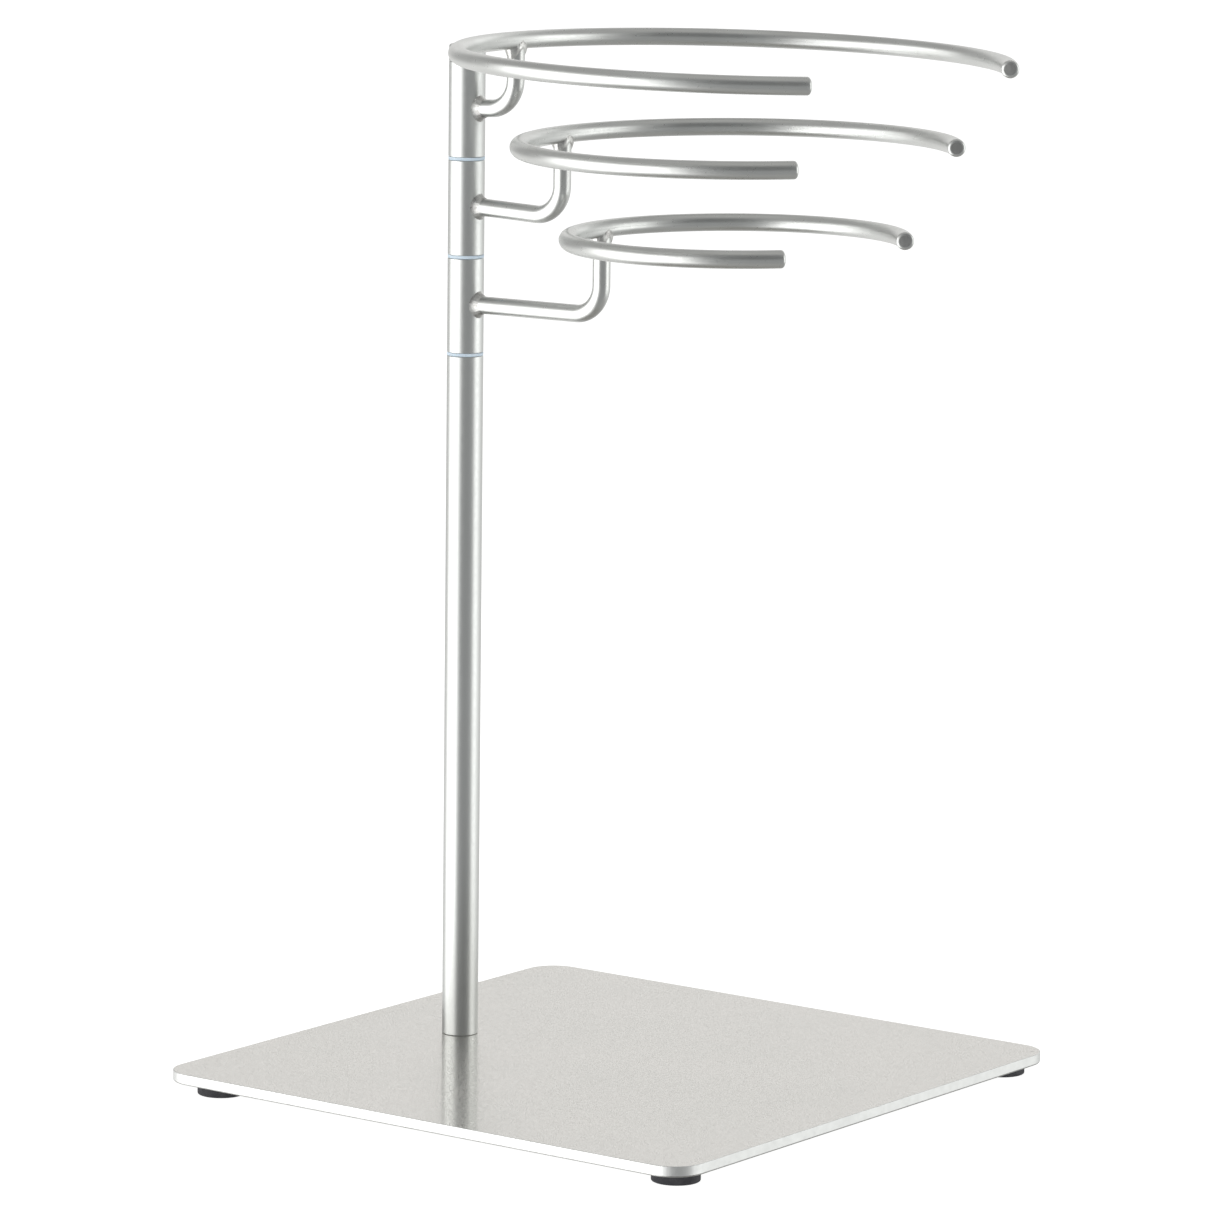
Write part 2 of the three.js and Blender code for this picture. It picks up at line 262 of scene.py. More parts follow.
def cut(piece, cutter):
    """Take one solid out of another, then drop the cutter."""
    modifier = piece.modifiers.new("cut", "BOOLEAN")
    modifier.operation = "DIFFERENCE"
    modifier.solver = "EXACT"
    modifier.object = cutter
    apply_modifiers(piece)
    piece.data.shade_smooth()
    piece.data.set_sharp_from_angle(angle=SHARP_ANGLE)
    bpy.data.objects.remove(cutter)


def keep_flats_flat(piece):
    """Weight the shading by face size, so narrow rolled edges don't tint the faces beside them."""
    modifier = piece.modifiers.new("weights", "WEIGHTED_NORMAL")
    modifier.mode = "FACE_AREA"
    modifier.keep_sharp = True
    apply_modifiers(piece)


def settle(piece, body, node, slot, *materials):
    """Give a finished piece its materials and its body, and hide the CAD node it stands for. slot is not
    used.
    """
    for material in materials:
        piece.data.materials.append(material)
    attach(piece, body)
    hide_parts(node)
    return piece


def middle_of(node):
    """The centre of a node's box in plan."""
    low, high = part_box(node)
    return (low + high) / 2


# ---- Material helpers ----

def add(tree, kind, **values):
    """A node with its properties set by name."""
    node = tree.nodes.new(kind)
    for name, value in values.items():
        setattr(node, name, value)
    return node


def math_node(tree, operation, first, second=None, clamp=False):
    """One Math node: its inputs are sockets or numbers."""
    node = add(tree, "ShaderNodeMath", operation=operation, use_clamp=clamp)
    for socket, value in zip(node.inputs, (first, second)):
        if isinstance(value, bpy.types.NodeSocket):
            tree.links.new(value, socket)
        elif value is not None:
            socket.default_value = value
    return node.outputs[0]


def noise_node(tree, scale, detail=3, stretch=(1, 1, 1)):
    """Noise in the piece's own coordinates, from 0 to 1."""
    place = add(tree, "ShaderNodeTexCoord")
    mapping = add(tree, "ShaderNodeMapping")
    mapping.inputs["Scale"].default_value = stretch
    grain = add(tree, "ShaderNodeTexNoise")
    grain.inputs["Scale"].default_value = scale
    grain.inputs["Detail"].default_value = detail
    tree.links.new(place.outputs["Object"], mapping.inputs["Vector"])
    tree.links.new(mapping.outputs["Vector"], grain.inputs["Vector"])
    return grain.outputs["Fac"]


def span(tree, value, low, high, start=0.3, end=0.7):
    """Stretch a noise's usual range over low to high."""
    node = add(tree, "ShaderNodeMapRange", clamp=True)
    node.inputs["From Min"].default_value = start
    node.inputs["From Max"].default_value = end
    node.inputs["To Min"].default_value = low
    node.inputs["To Max"].default_value = high
    tree.links.new(value, node.inputs["Value"])
    return node.outputs["Result"]


def blend_colours(tree, factor, first, second):
    """Mix two plain colours, or a colour over another node's, by a factor socket."""
    node = add(tree, "ShaderNodeMix", data_type="RGBA")
    tree.links.new(factor, node.inputs["Factor"])
    for name, value in (("A", first), ("B", second)):
        socket = next(s for s in node.inputs if s.name == name and s.type == "RGBA")
        if isinstance(value, bpy.types.NodeSocket):
            tree.links.new(value, socket)
        else:
            socket.default_value = (*value, 1)
    return next(s for s in node.outputs if s.type == "RGBA")


def bump(tree, heights):
    """Stack bumps: pairs of a height socket and its depth in metres."""
    normal = None
    for height, depth in heights:
        node = add(tree, "ShaderNodeBump")
        node.inputs["Distance"].default_value = depth
        tree.links.new(height, node.inputs["Height"])
        if normal is not None:
            tree.links.new(normal, node.inputs["Normal"])
        normal = node.outputs["Normal"]
    return normal


def surface(name, metallic):
    """A material with its tree and its one shader."""
    material = bpy.data.materials.new(name)
    material.use_nodes = True
    tree = material.node_tree
    shader = tree.nodes["Principled BSDF"]
    shader.inputs["Metallic"].default_value = metallic
    return material, tree, shader


def connect(tree, shader, colour, roughness, normal):
    """Wire a material's three sockets to its shader."""
    tree.links.new(colour, shader.inputs["Base Color"])
    tree.links.new(roughness, shader.inputs["Roughness"])
    tree.links.new(normal, shader.inputs["Normal"])


# ---- Materials ----

def rod_steel():
    """Satin rod: a fine even grain with a few soft stains."""
    material, tree, shader = surface("rod_steel", 1)
    stain = span(tree, noise_node(tree, 60), 0, 1)
    colour = blend_colours(tree, stain, (0.70, 0.71, 0.695), (0.64, 0.645, 0.63))
    roughness = span(tree, noise_node(tree, 900), 0.27, 0.35)
    grain = noise_node(tree, 2600, detail=2)
    connect(tree, shader, colour, roughness, bump(tree, [(grain, 0.004 * MM)]))
    return material


def sawn_end_and_shade_steel():
    """A rod's sawn end: darker and rougher than its drawn side. On the plate's lower edge the same dark
    steel is painted shade.
    """
    material, tree, shader = surface("sawn_end_and_shade_steel", 1)
    shade = span(tree, noise_node(tree, 700, stretch=(1, 1, 0.2)), 0, 1)
    colour = blend_colours(tree, shade, (0.49, 0.49, 0.48), (0.40, 0.40, 0.39))
    roughness = span(tree, noise_node(tree, 900), 0.34, 0.5)
    lines = noise_node(tree, 1500, stretch=(1, 1, 0.1))
    connect(tree, shader, colour, roughness, bump(tree, [(lines, 0.01 * MM)]))
    return material


def tube_steel():
    """Satin tube: the same steel with a coarser, slightly drawn grain."""
    material, tree, shader = surface("tube_steel", 1)
    stain = span(tree, noise_node(tree, 45, stretch=(1, 1, 0.3)), 0, 1)
    colour = blend_colours(tree, stain, (0.70, 0.71, 0.70), (0.65, 0.66, 0.645))
    roughness = span(tree, noise_node(tree, 700), 0.32, 0.40)
    grain = noise_node(tree, 2000, detail=2)
    draw = noise_node(tree, 1400, stretch=(1, 1, 0.05))
    normal = bump(tree, [(draw, 0.0015 * MM), (grain, 0.006 * MM)])
    connect(tree, shader, colour, roughness, normal)
    return material


def plate_steel():
    """Rolled plate: almost a mirror at a low angle, faintly clouded, with a few tiny marks."""
    material, tree, shader = surface("plate_steel", 1)
    cloud = span(tree, noise_node(tree, 22, detail=4), 0, 1)
    colour = blend_colours(tree, cloud, (0.715, 0.70, 0.67), (0.69, 0.68, 0.65))
    marks = span(tree, noise_node(tree, 260, detail=1), 0, 1, start=0.80, end=0.83)
    colour = blend_colours(tree, marks, colour, (0.42, 0.41, 0.40))
    roughness = span(tree, noise_node(tree, 4200, detail=2), 0.08, 0.44, start=0.44, end=0.60)
    grain = noise_node(tree, 1900, detail=2)
    connect(tree, shader, colour, roughness, bump(tree, [(grain, 0.0015 * MM)]))
    return material


def cut_edge_steel():
    """The plate's cut side: pale, with fine upright cutting lines."""
    material, tree, shader = surface("cut_edge_steel", 1)
    shade = span(tree, noise_node(tree, 300, stretch=(1, 1, 0.1)), 0, 1)
    colour = blend_colours(tree, shade, (0.80, 0.805, 0.795), (0.76, 0.765, 0.755))
    roughness = span(tree, noise_node(tree, 500), 0.42, 0.54)
    lines = noise_node(tree, 1500, stretch=(1, 1, 0.06))
    connect(tree, shader, colour, roughness, bump(tree, [(lines, 0.02 * MM)]))
    return material


def weld_steel():
    """Weld bead: blotchy, from bright metal to dark scale."""
    material, tree, shader = surface("weld_steel", 1)
    scale = span(tree, noise_node(tree, 420), 0, 1, start=0.42, end=0.66)
    colour = blend_colours(tree, scale, (0.72, 0.72, 0.70), (0.44, 0.43, 0.42))
    roughness = span(tree, noise_node(tree, 1200), 0.22, 0.5)
    pits = noise_node(tree, 1300)
    connect(tree, shader, colour, roughness, bump(tree, [(pits, 0.02 * MM)]))
    return material


def hardware_steel():
    """Zinc-plated screw, plugs and spindle: dull, cloudy and a little rough."""
    material, tree, shader = surface("hardware_steel", 1)
    cloud = span(tree, noise_node(tree, 300, detail=4), 0, 1)
    colour = blend_colours(tree, cloud, (0.50, 0.52, 0.54), (0.38, 0.40, 0.42))
    roughness = span(tree, noise_node(tree, 600), 0.32, 0.48)
    grain = noise_node(tree, 1600)
    connect(tree, shader, colour, roughness, bump(tree, [(grain, 0.01 * MM)]))
    return material


def nylon():
    """Bluish milky nylon with faint turning lines."""
    material, tree, shader = surface("nylon", 0)
    cloud = span(tree, noise_node(tree, 350), 0, 1)
    colour = blend_colours(tree, cloud, (0.54, 0.64, 0.73), (0.60, 0.70, 0.79))
    roughness = span(tree, noise_node(tree, 800), 0.38, 0.52)
    lines = noise_node(tree, 1800, stretch=(0.05, 0.05, 1))
    shader.inputs["Subsurface Weight"].default_value = 0.15
    shader.inputs["Subsurface Radius"].default_value = (0.6, 0.8, 1.0)
    shader.inputs["Subsurface Scale"].default_value = 1 * MM
    connect(tree, shader, colour, roughness, bump(tree, [(lines, 0.01 * MM)]))
    return material


def rubber():
    """Charcoal moulded rubber with a fine pebble and dusty patches."""
    material, tree, shader = surface("rubber", 0)
    dust = span(tree, noise_node(tree, 260, detail=5), 0, 1, start=0.45, end=0.75)
    colour = blend_colours(tree, dust, (0.034, 0.034, 0.039), (0.066, 0.065, 0.070))
    roughness = span(tree, noise_node(tree, 400), 0.62, 0.85)
    pebble = noise_node(tree, 2400, detail=2)
    shader.inputs["Specular IOR Level"].default_value = 0.35
    connect(tree, shader, colour, roughness, bump(tree, [(pebble, 0.03 * MM)]))
    return material


ROD_STEEL = rod_steel()
# Dark sawn-end steel. It also darkens the plate's lower edge as painted shade under the plate.
SAWN_END_AND_SHADE_STEEL = sawn_end_and_shade_steel()
TUBE_STEEL = tube_steel()
PLATE_STEEL = plate_steel()
CUT_EDGE_STEEL = cut_edge_steel()
WELD_STEEL = weld_steel()
HARDWARE_STEEL = hardware_steel()
NYLON = nylon()
RUBBER = rubber()


# ---- Base ----

def rounded_square(half_x, half_y, corner, centre, height):
    """A level loop: a rectangle with round corners."""
    loop = []
    for quarter, (side_x, side_y) in enumerate(((1, 1), (-1, 1), (-1, -1), (1, -1))):
        for step in range(CORNER_STEPS + 1):
            angle = 0.5 * math.pi * (quarter + step / CORNER_STEPS)
            loop.append(Vector((
                centre.x + side_x * (half_x - corner) + corner * math.cos(angle),
                centre.y + side_y * (half_y - corner) + corner * math.sin(angle),
                height,
            )))
    return loop


def plate_blank(low, high):
    """The plate before its hole is cut: a rounded square with rolled edges."""
    centre = (low + high) / 2
    loops = []
    outline = rolled_edge(0, low.z, PLATE_UNDER_EDGE, upwards=False)
    outline += rolled_edge(0, high.z, PLATE_TOP_EDGE, upwards=True)
    for inset_radius, height in outline:
        inset = -inset_radius
        half_x = (high.x - low.x) / 2 - inset
        half_y = (high.y - low.y) / 2 - inset
        loops.append(rounded_square(half_x, half_y, PLATE_CORNER - inset, centre, height))
    return skin("base_plate_piece", loops)


def paint_sides(piece, low, high):
    """The plate's side and the edge over it are cut metal; the edge under it gets the darker sawn-end
    steel, painted shade for the shadow under the plate.
    """
    centre = (low + high) / 2
    for face in piece.data.polygons:
        from_centre = face.center - centre
        at_rim = max(abs(from_centre.x), abs(from_centre.y)) > RIM_START
        if at_rim and LOWER_EDGE_NORMAL < face.normal.z < FLAT_NORMAL:
            face.material_index = CUT_EDGE_INDEX
        # Downward-facing rim faces: painted shade, darker where the shadow under the plate falls.
        elif at_rim and -FLAT_NORMAL < face.normal.z <= LOWER_EDGE_NORMAL:
            face.material_index = LOWER_EDGE_SHADE_INDEX


def make_plate():
    """The base plate, with a countersunk hole under the post."""
    low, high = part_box("base_plate")
    plate = plate_blank(low, high)
    post = middle_of("post_tube")
    below = low.z - OVERSHOOT
    cone_top = low.z + COUNTERSINK - SCREW_HOLE
    cutter = lathe("plate_hole", [
        (COUNTERSINK, below),
        (COUNTERSINK, low.z),
        (SCREW_HOLE, cone_top),
        (SCREW_HOLE, high.z + OVERSHOOT),
    ], (post.x, post.y), sides=HOLE_SIDES)
    cut(plate, cutter)
    keep_flats_flat(plate)
    # The third material, the dark sawn-end steel, is painted shade on the plate's lower edge.
    settle(plate, "stand", "base_plate", "plate_steel", PLATE_STEEL, CUT_EDGE_STEEL, SAWN_END_AND_SHADE_STEEL)
    paint_sides(plate, low, high)


def make_foot(node):
    """A stick-on rubber disc, a little dished underneath."""
    low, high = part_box(node)
    centre = (low + high) / 2
    radius = (high.x - low.x) / 2
    dish = DISH_RADIUS * radius
    outline = [
        (DISH_MIDDLE * radius, low.z + FOOT_EDGE),
        (DISH_SHOULDER * dish, low.z + DISH_SHOULDER_DEPTH * FOOT_EDGE),
        (dish, low.z),
    ]
    outline += turned_body(radius, low.z, high.z, FOOT_EDGE)
    foot = lathe(f"{node}_piece", outline, (centre.x, centre.y), sides=FOOT_SIDES)
    keep_flats_flat(foot)
    settle(foot, "stand", node, "rubber", RUBBER)


def make_screw():
    """The countersunk screw, with a hex socket in its head."""
    low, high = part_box("base_screw")
    centre = (low + high) / 2
    head = (high.x - low.x) / 2
    neck = low.z + head - SCREW_RADIUS
    outline = [
        (head - BUSH_EDGE, low.z),
        (head, low.z + BUSH_EDGE),
        (SCREW_RADIUS, neck),
        (SCREW_RADIUS, high.z - TURNED_EDGE),
        (SCREW_RADIUS - TURNED_EDGE, high.z),
    ]
    screw = lathe("base_screw_piece", outline, (centre.x, centre.y), sides=SCREW_SIDES)
    cutter = lathe("hex_socket", [
        (HEX_RADIUS, low.z - OVERSHOOT),
        (HEX_RADIUS, low.z + HEX_DEPTH),
    ], (centre.x, centre.y), sides=HEX_SIDES)
    cut(screw, cutter)
    keep_flats_flat(screw)
    settle(screw, "stand", "base_screw", "hardware_steel", HARDWARE_STEEL)


# ---- Post stack ----

def make_tube(node, body):
    """A length of tube with softened ends."""
    low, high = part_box(node)
    axis = middle_of("post_tube")
    radius = (high.x - low.x) / 2
    outline = [(TUBE_BORE, low.z)] + turned_body(radius, low.z, high.z, TURNED_EDGE)
    outline.append((TUBE_BORE, high.z))
    tube = lathe(f"{node}_piece", outline, (axis.x, axis.y), closed=True)
    keep_flats_flat(tube)
    settle(tube, body, node, "satin_steel", TUBE_STEEL)


def make_washer():
    """The flat washer under the end cap."""
    low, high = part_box("top_washer")
    axis = middle_of("post_tube")
    radius = (high.x - low.x) / 2
    bottom = low.z + END_PLAY
    outline = [(BUSH_BORE, bottom)] + turned_body(radius, bottom, high.z, BUSH_EDGE) + [(BUSH_BORE, high.z)]
    washer = lathe("top_washer_piece", outline, (axis.x, axis.y), closed=True)
    keep_flats_flat(washer)
    settle(washer, "stand", "top_washer", "satin_steel", TUBE_STEEL)


def make_lower_bush(name):
    """A flange between two collars, with a sleeve up inside the upper one."""
    low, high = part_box(f"{name}_lower_bush")
    axis = middle_of("post_tube")
    radius = (high.x - low.x) / 2
    flange_top = low.z + FLANGE
    outline = [(BUSH_BORE, low.z)] + turned_body(radius, low.z, flange_top, BUSH_EDGE)
    outline += [(BUSH_SLEEVE, flange_top), (BUSH_SLEEVE, high.z), (BUSH_BORE, high.z)]
    bush = lathe(f"{name}_lower_bush_piece", outline, (axis.x, axis.y), closed=True)
    keep_flats_flat(bush)
    settle(bush, f"{name}_swivel", f"{name}_lower_bush", "nylon", NYLON)


def make_cap():
    """A blind cap nut: open below, its top edge well rounded."""
    low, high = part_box("end_cap")
    axis = middle_of("post_tube")
    radius = (high.x - low.x) / 2
    centre_line = 0.02 * MM
    ceiling = high.z - CAP_WALL
    outline = [(CAP_BORE, low.z)]
    outline += rolled_edge(radius, low.z, TURNED_EDGE, upwards=False)
    outline += rolled_edge(radius, high.z, CAP_ROUND, upwards=True)
    outline += [(centre_line, high.z), (centre_line, ceiling), (CAP_BORE, ceiling)]
    cap = lathe("end_cap_piece", outline, (axis.x, axis.y), closed=True)
    keep_flats_flat(cap)
    settle(cap, "stand", "end_cap", "satin_steel", TUBE_STEEL)


# ---- Arms, rings and welds ----

def straight(start, end, steps):
    """Points from start up to, but without, end."""
    return [start.lerp(end, step / steps) for step in range(steps)]


def arm_points(shape):
    """The arm's centreline, with the post's axis at x = 0 and the collar's middle at z = 0."""
    reach = shape["reach"] * MM
    level = ARM_LIFT + shape["climb"] * MM
    bend = Vector((reach - BEND_RADIUS, 0, level + BEND_RADIUS))
    points = straight(Vector((ARM_ROOT, 0, ARM_LIFT)), Vector((bend.x, 0, level)), RUN_STEPS)
    for step in range(BEND_STEPS):
        angle = 0.5 * math.pi * step / BEND_STEPS
        points.append(bend + BEND_RADIUS * Vector((math.sin(angle), 0, -math.cos(angle))))
    top = Vector((reach, 0, shape["rise"] * MM))
    points += straight(Vector((reach, 0, bend.z)), top, RUN_STEPS)
    return points + [top]


def ring_points_and_radii(shape):
    """The ring's centreline round to its rounded tips, with the rod's radius at each point."""
    radius = shape["radius"] * MM
    start = math.radians(shape["turn"] + shape["mouth"]) + TIP_MARGIN / radius
    end = math.radians(shape["turn"] - shape["mouth"] + 360) - TIP_MARGIN / radius
    tips = []
    for step in range(ROUND_STEPS + 1):
        angle = 0.5 * math.pi * step / ROUND_STEPS
        tips.append((ROD_TIP * (1 - math.cos(angle)), ROD_RADIUS - ROD_TIP * (1 - math.sin(angle))))
    tip_angle = ROD_TIP / radius
    steps = math.ceil((end - start) / RING_STEP)
    stations = [(start + along / radius, thick) for along, thick in tips]
    for step in range(1, steps):
        angle = start + tip_angle + (end - start - 2 * tip_angle) * step / steps
        stations.append((angle, ROD_RADIUS))
    stations += [(end - along / radius, thick) for along, thick in reversed(tips)]
    points = [Vector((radius + radius * math.cos(a), radius * math.sin(a), 0)) for a, _ in stations]
    return points, [thick for _, thick in stations]


def bead_wander(angle, seed):
    """How far a bead's toe strays at an angle round the joint, the same on every run."""
    place = Vector((math.cos(angle), math.sin(angle), 0)) * ROD_RADIUS * WANDER_SCALE
    slow = noise.noise(place + Vector((seed, 0, 0)))
    return BEAD_WANDER * slow + BEAD_RIPPLE_HEIGHT * math.sin(BEAD_RIPPLES * angle)


def bead_loops(section, seed, bulge=0.0):
    """A closed bead round a joint. section gives its outer toe, inner toe and hidden root."""
    loops = []
    for side in range(BEAD_SIDES):
        angle = 2 * math.pi * side / BEAD_SIDES
        outer, inner, root = section(angle, bead_wander(angle, seed))
        outward = Vector((math.cos(angle), math.sin(angle), 0))
        corner = outer.lerp(inner, 0.5).lerp(root, BEAD_HOLLOW) + bulge * outward
        loop = []
        for step in range(BEAD_STEPS + 1):
            share = step / BEAD_STEPS
            loop.append(outer.lerp(corner, share).lerp(corner.lerp(inner, share), share))
        loop.append(root)
        loops.append(loop)
    return loops


def collar_bead_section(collar_radius):
    """Toes of the bead between an arm's root and its collar."""

    def on_collar(spread, angle, sink=0.0):
        y = spread * math.cos(angle)
        z = spread * math.sin(angle)
        return Vector((math.sqrt(collar_radius ** 2 - y ** 2) - sink, y, z + ARM_LIFT))

    def section(angle, wander):
        share = COLLAR_BEAD_SIDES + (1 - COLLAR_BEAD_SIDES) * abs(math.sin(angle))
        spread = ROD_RADIUS + (COLLAR_BEAD_SPREAD + wander) * share
        outer = on_collar(spread, angle, sink=BEAD_SINK)
        on_rod = on_collar(ROD_RADIUS, angle)
        inner = on_rod + Vector((COLLAR_BEAD_RUN + wander, 0, 0))
        inner -= TOE_IN_ROD * Vector((0, on_rod.y, on_rod.z - ARM_LIFT))
        root = on_collar(ROD_RADIUS - BEAD_ROOT, angle, sink=BEAD_ROOT)
        return outer, inner, root

    return section


def ring_bead_section(angle, wander):
    """Toes of the bead between a leg's top and the ring over it, with the ring at z = 0."""
    away = math.sin(angle) ** 2
    on_ring = ROD_RADIUS + (RING_BEAD_SPREAD + wander) * away
    across = max(-ROD_RADIUS, min(ROD_RADIUS, on_ring * math.cos(angle)))
    drop = math.sqrt(max(0, ROD_RADIUS ** 2 - across ** 2))
    outer = Vector((across, on_ring * math.sin(angle), -drop + BEAD_SINK))
    leg_x = (1 - TOE_IN_ROD) * ROD_RADIUS * math.cos(angle)
    leg_y = (1 - TOE_IN_ROD) * ROD_RADIUS * math.sin(angle)
    leg_drop = math.sqrt(max(0, ROD_RADIUS ** 2 - leg_x ** 2))
    run = (RING_BEAD_RUN + wander) * (RING_BEAD_SIDES + (1 - RING_BEAD_SIDES) * away)
    inner = Vector((leg_x, leg_y, -leg_drop - run))
    root = Vector((RING_ROOT_OUT * leg_x, RING_ROOT_OUT * leg_y, -RING_ROOT_DROP * leg_drop))
    return outer, inner, root


def paint_ends(rod):
    """Give a swept rod's two end discs its second material."""
    for face in rod.data.polygons:
        if len(face.vertices) == ROD_SIDES:
            face.material_index = ROD_END_INDEX


def make_swivel(name, shape, seed):
    """Everything that turns with one collar."""
    body = f"{name}_swivel"
    make_lower_bush(name)
    make_tube(f"{name}_collar", body)

    axis = middle_of("post_tube")
    collar_low, collar_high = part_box(f"{name}_collar")
    collar_radius = (collar_high.x - collar_low.x) / 2
    level = (collar_low.z + collar_high.z) / 2
    swing = Matrix.Rotation(math.radians(shape["swing"]), 4, "Z")
    on_collar = Matrix.Translation((axis.x, axis.y, level)) @ swing
    leg_top = on_collar @ Matrix.Translation((shape["reach"] * MM, 0, shape["rise"] * MM))
    lean = Matrix.Rotation(math.radians(shape["lean"]), 4, "X")
    droop = Matrix.Rotation(math.radians(shape["droop"]), 4, "Y")

    points = arm_points(shape)
    arm = sweep(f"{name}_arm_piece", points, Vector((0, 1, 0)), [ROD_RADIUS] * len(points))
    arm.data.transform(on_collar)
    settle(arm, body, f"{name}_arm", "satin_steel", ROD_STEEL)

    points, radii = ring_points_and_radii(shape)
    ring = sweep(f"{name}_ring_piece", points, Vector((0, 0, 1)), radii)
    ring.data.transform(leg_top @ lean @ droop)
    settle(ring, body, f"{name}_ring", "satin_steel", ROD_STEEL, SAWN_END_AND_SHADE_STEEL)
    paint_ends(ring)

    loops = bead_loops(collar_bead_section(collar_radius), seed)
    bead = skin(f"{name}_collar_weld_piece", loops, closed=True)
    bead.data.transform(on_collar)
    settle(bead, body, f"{name}_collar_weld", "satin_steel", WELD_STEEL)

    loops = bead_loops(ring_bead_section, seed + RING_BEAD_SEED, bulge=RING_BEAD_BULGE)
    bead = skin(f"{name}_ring_weld_piece", loops, closed=True)
    bead.data.transform(leg_top @ lean @ droop)
    settle(bead, body, f"{name}_ring_weld", "satin_steel", WELD_STEEL)


def dress_hidden_nodes():
    """The pieces inside the post and collars keep their CAD shape."""
    inside = {"post_foot_plug": HARDWARE_STEEL, "post_head_plug": HARDWARE_STEEL, "spindle": HARDWARE_STEEL}
    for name in RINGS:
        inside[f"{name}_upper_bush"] = NYLON
    for node, material in inside.items():
        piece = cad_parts[node]
        piece.data.materials.clear()
        piece.data.materials.append(material)


# ---- Stage, light and camera ----

def make_floor():
    """A plain floor. Most of its white is its own glow, so the stand's shadow is faint. The steel
    doesn't mirror it: it mirrors the room alone."""
    mesh_data = bmesh.new()
    corners = ((-1, -1), (1, -1), (1, 1), (-1, 1))
    mesh_data.faces.new([mesh_data.verts.new((x * FLOOR_HALF, y * FLOOR_HALF, 0)) for x, y in corners])
    floor = object_from("floor", mesh_data)
    material, _, shader = surface("floor_white", 0)
    shader.inputs["Base Color"].default_value = (FLOOR_GREY, FLOOR_GREY, FLOOR_GREY, 1)
    shader.inputs["Roughness"].default_value = 1
    shader.inputs["Specular IOR Level"].default_value = 0
    shader.inputs["Emission Color"].default_value = (1, 1, 1, 1)
    shader.inputs["Emission Strength"].default_value = FLOOR_GLOW
    floor.data.materials.append(material)
    floor.visible_glossy = False


# Soft lights and dark cards round the stand, each laid over those before it. across and up are spans
# in degrees: across counts from the camera's own direction towards its right, and up from level.
ROOM_GREY = (0.46, 0.46, 0.455)
ROOM = [
    dict(across=(-180, 180), up=(68, 100), soft=10, colour=(0.52, 0.52, 0.51)),
    dict(across=(-178, -105), up=(-55, -8), soft=12, colour=(0.95, 0.95, 0.94)),
    dict(across=(100, 158), up=(-34, 34), soft=10, colour=(0.72, 0.73, 0.72)),
    dict(across=(98, 124), up=(-24, 30), soft=8, colour=(1.02, 1.03, 1.02)),
    dict(across=(138, 171), up=(9, 35), soft=8, colour=(1.32, 1.33, 1.32)),
    dict(across=(157, 203), up=(-35, 30), soft=9, colour=(0.93, 0.925, 0.915)),
    dict(across=(-24, 160), up=(-100, -42), soft=14, colour=(0.43, 0.43, 0.42)),
    dict(across=(-30, 56), up=(-46, 62), soft=13, colour=(0.37, 0.378, 0.38)),
    dict(across=(-16, 44), up=(4, 54), soft=10, colour=(0.20, 0.204, 0.205)),
    dict(across=(-108, -33), up=(-53, 22), soft=13, colour=(2.30, 2.31, 2.30)),
    dict(across=(65, 101), up=(-24, 30), soft=8, colour=(1.75, 1.77, 1.75)),
]


def smooth_edge(tree, value, edge, soft):
    """0 below the edge and 1 above it, with a soft step between."""
    node = add(tree, "ShaderNodeMapRange", interpolation_type="SMOOTHSTEP", clamp=True)
    node.inputs["From Min"].default_value = edge - soft
    node.inputs["From Max"].default_value = edge + soft
    tree.links.new(value, node.inputs["Value"])
    return node.outputs["Result"]


def within(tree, value, low, high, soft):
    """1 between low and high, fading to 0 outside."""
    above_low = smooth_edge(tree, value, low, soft)
    above_high = smooth_edge(tree, value, high, soft)
    return math_node(tree, "SUBTRACT", above_low, above_high, clamp=True)


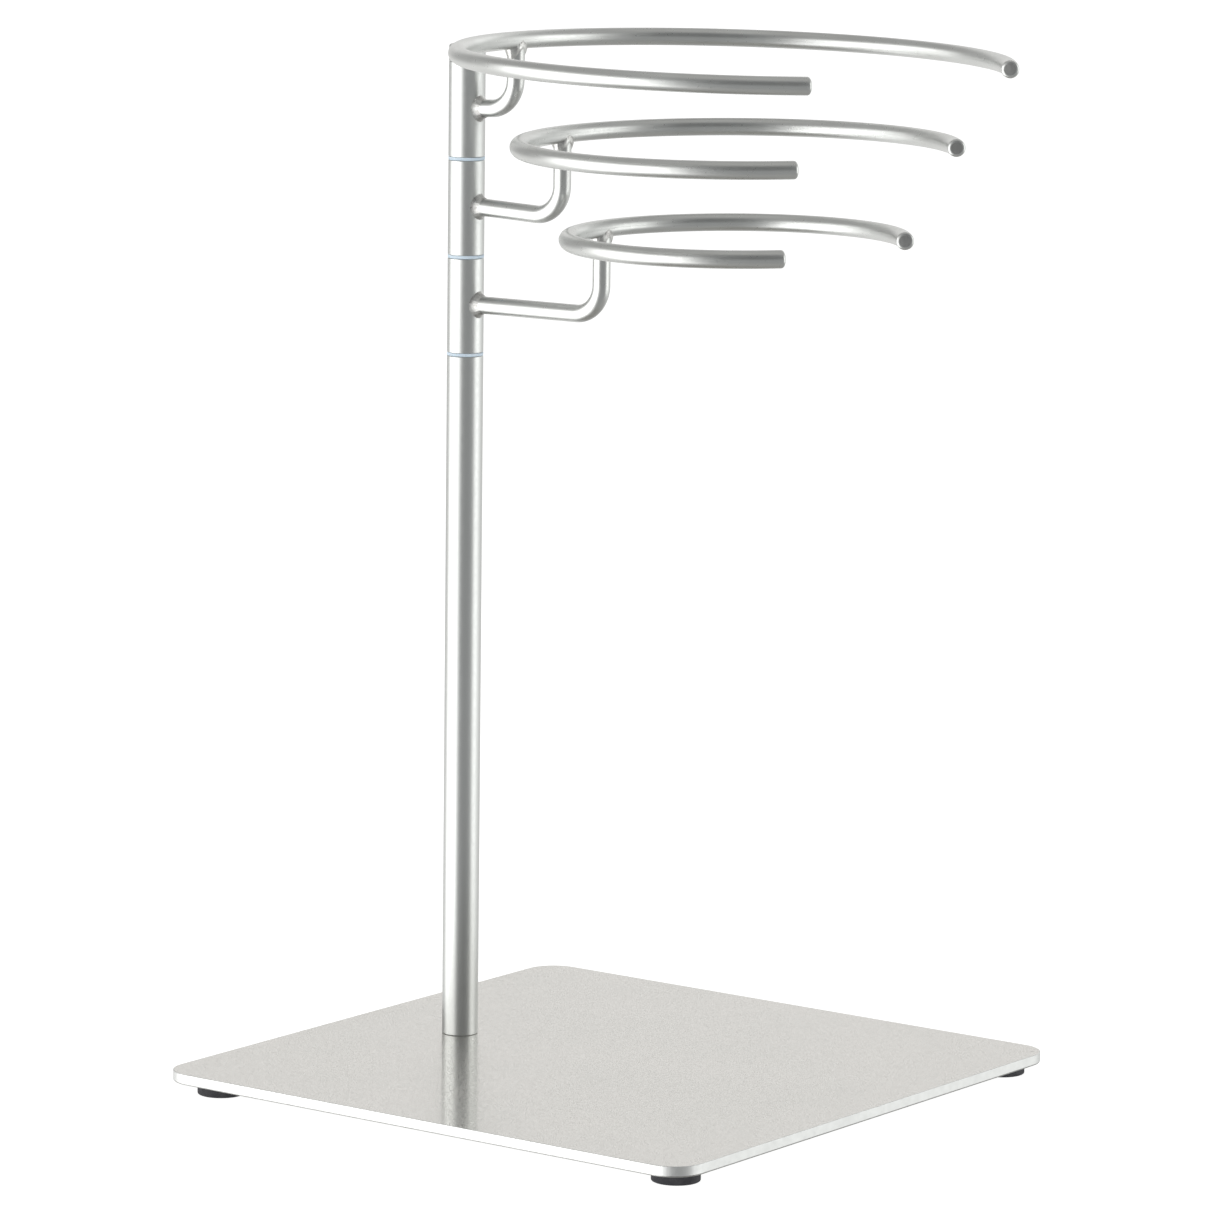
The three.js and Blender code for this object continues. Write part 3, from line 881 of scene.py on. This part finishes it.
def make_room():
    """The world the steel reflects: a grey room with the soft patches of ROOM laid over it."""
    world = bpy.data.worlds.new("room")
    world.use_nodes = True
    tree = world.node_tree
    direction = add(tree, "ShaderNodeSeparateXYZ")
    tree.links.new(add(tree, "ShaderNodeTexCoord").outputs["Generated"], direction.inputs[0])
    azimuth = math_node(tree, "ARCTAN2", direction.outputs["Y"], direction.outputs["X"])
    elevation = math_node(tree, "ARCSINE", direction.outputs["Z"])
    colour = None
    for patch in ROOM:
        low, high = (math.radians(angle) for angle in patch["across"])
        soft = math.radians(patch["soft"])
        turned = math_node(tree, "SUBTRACT", azimuth, VIEW_AZIMUTH + (low + high) / 2)
        wrap = add(tree, "ShaderNodeMath", operation="WRAP")
        tree.links.new(turned, wrap.inputs[0])
        wrap.inputs[1].default_value = math.pi
        wrap.inputs[2].default_value = -math.pi
        half = (high - low) / 2
        if half < math.pi:
            sideways = within(tree, wrap.outputs[0], -half, half, soft)
        else:
            sideways = 1.0
        upwards = within(tree, elevation, *(math.radians(angle) for angle in patch["up"]), soft)
        mask = math_node(tree, "MULTIPLY", upwards, sideways)
        colour = blend_colours(tree, mask, colour or ROOM_GREY, patch["colour"])
    tree.links.new(colour, tree.nodes["Background"].inputs["Color"])
    bpy.context.scene.world = world


def make_key_light():
    """A broad overhead panel, so the feet and welds have some shape."""
    data = bpy.data.lights.new("overhead", "AREA")
    data.shape = "RECTANGLE"
    data.size = LIGHT_SIDE
    data.size_y = LIGHT_SIDE
    data.energy = LIGHT_POWER
    panel = bpy.data.objects.new("overhead", data)
    panel.location = LIGHT_PLACE
    panel.visible_glossy = False
    bpy.context.scene.collection.objects.link(panel)


def make_camera():
    """The camera, at its offset from the middle of the plate's top."""
    low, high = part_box("base_plate")
    target = Vector(((low.x + high.x) / 2, (low.y + high.y) / 2, high.z))
    level = math.cos(CAMERA_PITCH)
    ahead = Vector((level * math.cos(CAMERA_YAW), level * math.sin(CAMERA_YAW), math.sin(CAMERA_PITCH)))
    right = ahead.cross(Vector((0, 0, 1))).normalized()
    up = right.cross(ahead)
    turn = Matrix.Rotation(-CAMERA_ROLL, 3, ahead)
    right = turn @ right
    up = turn @ up
    data = bpy.data.cameras.new("camera")
    data.lens = CAMERA_LENS
    data.sensor_width = CAMERA_SENSOR
    data.clip_end = CAMERA_REACH
    camera = bpy.data.objects.new("camera", data)
    axes = Matrix((right, up, -ahead)).transposed().to_4x4()
    camera.matrix_world = Matrix.Translation(target + CAMERA_OFFSET) @ axes
    bpy.context.scene.collection.objects.link(camera)
    bpy.context.scene.camera = camera
    bpy.context.scene.view_settings.view_transform = "Standard"


make_plate()
for foot_node in FEET:
    make_foot(foot_node)
make_screw()
make_tube("post_tube", "stand")
make_washer()
make_cap()
for place_in_stack, (ring_name, ring_shape) in enumerate(RINGS.items()):
    make_swivel(ring_name, ring_shape, seed=SWIVEL_SEED_STEP * place_in_stack)
dress_hidden_nodes()
make_floor()
make_room()
make_key_light()
make_camera()
